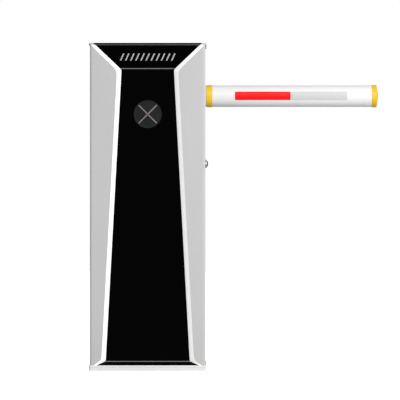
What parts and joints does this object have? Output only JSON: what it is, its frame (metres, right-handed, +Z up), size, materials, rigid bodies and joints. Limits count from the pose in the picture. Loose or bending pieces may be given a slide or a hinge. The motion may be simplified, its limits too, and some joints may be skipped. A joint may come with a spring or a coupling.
{
  "type": "parking barrier gate",
  "caption": "Slim road barrier cabinet with a recessed black front, a round signal, a service door and a short tubular boom that swings up beside it.",
  "frame": {"origin": "centre of the anchor bolt pattern on the underside of the base plate", "axes": "+X along the lowered boom, +Y to the back of the cabinet, +Z up"},
  "size_m": [0.9002, 0.3885, 1],
  "materials": {
    "case_silver": "satin silver-grey powder coat",
    "base_grey": "light grey paint",
    "rubber": "matt black rubber",
    "bevel_white": "bright white bevel",
    "gloss_black": "high-gloss black",
    "seam_bright": "brushed strip",
    "smoked_lens": "smoked lens",
    "signal_light": "light guide, unlit",
    "black_plastic": "moulded",
    "circuit_board": "solder resist",
    "frame_steel": "dark grey paint",
    "cast_iron": "as cast, machined faces",
    "bright_steel": "turned",
    "zinc": "zinc plated",
    "spring_steel": "oiled wire",
    "motor_grey": "blue-grey enamel",
    "transformer_steel": "laminated core",
    "holder_grey": "light grey paint",
    "boom_white": "white powder coat",
    "boom_yellow": "yellow moulding",
    "reflector_red": "retroreflective film",
    "reflector_silver": "retroreflective film"
  },
  "bodies": {
    "cabinet": {"base_plate": "base_grey", "plinth_frame": "base_grey", "left_column": "case_silver", "right_column": "case_silver", "left_side_panel": "case_silver", "rear_panel": "case_silver", "lid": "case_silver", "bevel_trim_left": "bevel_white", "bevel_trim_right": "bevel_white", "front_panel": "gloss_black", "top_visor": "gloss_black", "kick_panel": "gloss_black", "seam_strips": "seam_bright", "signal_lens": "smoked_lens", "signal_cross": "signal_light", "signal_housing": "black_plastic", "signal_board": "circuit_board", "corner_posts": "frame_steel", "side_rails": "frame_steel", "cross_beams": "frame_steel", "bearing_blocks": "cast_iron", "bearing_inserts": "bright_steel", "shaft_seal": "rubber", "stop_bracket": "frame_steel", "stop_buffers": "rubber", "limit_switches": "black_plastic", "anchor_beam": "frame_steel", "spring_anchor": "bright_steel", "balance_spring": "spring_steel", "drive_plate": "frame_steel", "gearbox": "cast_iron", "drive_motor": "motor_grey", "control_box": "zinc", "control_board": "circuit_board", "transformer": "transformer_steel", "hinge_fixed_leaf": "zinc", "hinge_pin": "zinc", "panel_screws": "zinc"},
    "boom": {"main_shaft": "bright_steel", "drive_lever": "bright_steel", "spring_lever": "bright_steel", "stop_arm": "bright_steel", "limit_cam": "bright_steel", "boom_holder": "holder_grey", "holder_bolts": "zinc", "boom_tube": "boom_white", "boom_collar": "boom_yellow", "boom_end_cap": "boom_yellow", "reflector_red": "reflector_red", "reflector_white": "reflector_silver"},
    "crank": {"crank_gear": "cast_iron", "crank_pin": "bright_steel"},
    "rod": {"connecting_rod": "bright_steel"},
    "pinion": {"drive_pinion": "bright_steel", "release_handwheel": "black_plastic"},
    "door": {"service_door": "case_silver", "hinge_door_leaf": "zinc", "lock_bezel": "zinc"},
    "lock": {"lock_knob": "black_plastic", "lock_cam": "zinc"}
  },
  "joints": [
    {"name": "boom_raise", "type": "hinge", "parent": "cabinet", "child": "boom", "pos_m": [0.09, 0, 0.8486], "axis": [0, -1, 0], "range_deg": [0, 90], "deforming": ["balance_spring"]},
    {"name": "crank_turn", "type": "hinge", "parent": "cabinet", "child": "crank", "pos_m": [0.09, 0, 0.518], "axis": [0, -1, 0], "range_deg": [0, 90]},
    {"name": "rod_swing", "type": "hinge", "parent": "crank", "child": "rod", "pos_m": [0.04757, 0, 0.56043], "axis": [0, -1, 0], "range_deg": [-90, 0]},
    {"name": "pinion_spin", "type": "hinge", "parent": "cabinet", "child": "pinion", "pos_m": [-0.00375, 0, 0.518], "axis": [0, -1, 0], "range_deg": [-360, 0]},
    {"name": "door_swing", "type": "hinge", "parent": "cabinet", "child": "door", "pos_m": [0.172, -0.118, 0], "axis": [0, 0, -1], "range_deg": [0, 105]},
    {"name": "lock_turn", "type": "hinge", "parent": "door", "child": "lock", "pos_m": [0.176, 0.095, 0.634], "axis": [-1, 0, 0], "range_deg": [0, 90]}
  ],
  "couplings": [
    {"joint": "crank_turn", "follows": "boom_raise", "ratio": 1},
    {"joint": "rod_swing", "follows": "boom_raise", "ratio": -1},
    {"joint": "pinion_spin", "follows": "boom_raise", "ratio": -4}
  ]
}
